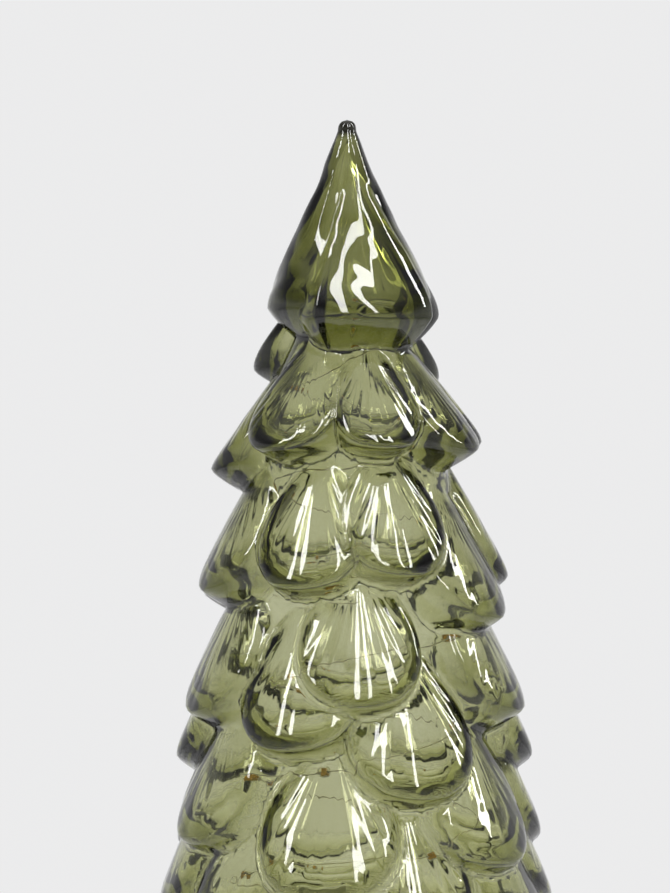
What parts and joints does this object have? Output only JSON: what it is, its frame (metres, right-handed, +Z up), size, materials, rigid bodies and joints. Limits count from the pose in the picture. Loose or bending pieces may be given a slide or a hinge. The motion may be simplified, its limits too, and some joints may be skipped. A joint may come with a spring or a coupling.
{
  "type": "led glass christmas tree",
  "caption": "Pointed tree of green moulded glass with overlapping scalloped branches, a coiled string of bead lights inside, and a battery base with hinged door and slide switch.",
  "frame": {"origin": "on the table under the tree's axis, at the soles of the rubber feet", "axes": "+Z up along the tree's axis, -Y towards the side in the picture, +X to the viewer's right"},
  "size_m": [0.1077, 0.1071, 0.26],
  "materials": {
    "green_glass": "clear olive green, fire-polished",
    "clear_silicone": "satin",
    "white_plastic": "fine moulded grain",
    "screw_steel": "zinc plated",
    "grey_rubber": "matt",
    "cell_sleeve": "plain printed sleeve over steel",
    "spring_steel": "nickel plated",
    "contact_brass": "stamped sheet",
    "board_laminate": "solder mask",
    "black_resin": "glossy",
    "black_plastic": "moulded",
    "red_sleeve": "wire insulation",
    "black_sleeve": "wire insulation",
    "wire_copper": "clear lacquer over pale tinned copper",
    "bead_resin": "clear resin over a yellow chip"
  },
  "bodies": {
    "tree": {"glass_tree": "green_glass", "seal_ring": "clear_silicone", "base_housing": "white_plastic", "base_cover": "white_plastic", "cover_screws": "screw_steel", "rubber_feet": "grey_rubber", "battery_front": "cell_sleeve", "battery_middle": "cell_sleeve", "battery_rear": "cell_sleeve", "contact_springs": "spring_steel", "contact_positive": "contact_brass", "contact_negative": "contact_brass", "contact_link_left": "contact_brass", "contact_link_right": "contact_brass", "circuit_board": "board_laminate", "board_screws": "screw_steel", "timer_chip": "black_resin", "timer_crystal": "spring_steel", "resistors": "black_resin", "switch_case": "spring_steel", "lead_positive": "red_sleeve", "lead_negative": "black_sleeve", "wire_grommet": "grey_rubber", "led_wire": "wire_copper", "led_beads": "bead_resin"},
    "door": {"battery_door": "white_plastic"},
    "knob": {"switch_knob": "black_plastic"}
  },
  "joints": [
    {"name": "door_hinge", "type": "hinge", "parent": "tree", "child": "door", "pos_m": [-0.02835, 0, 0.0035], "axis": [0, 1, 0], "range_deg": [0, 95]},
    {"name": "switch_slide", "type": "slide", "parent": "tree", "child": "knob", "axis": [1, 0, 0], "range_m": [-0.0025, 0.0025]}
  ]
}
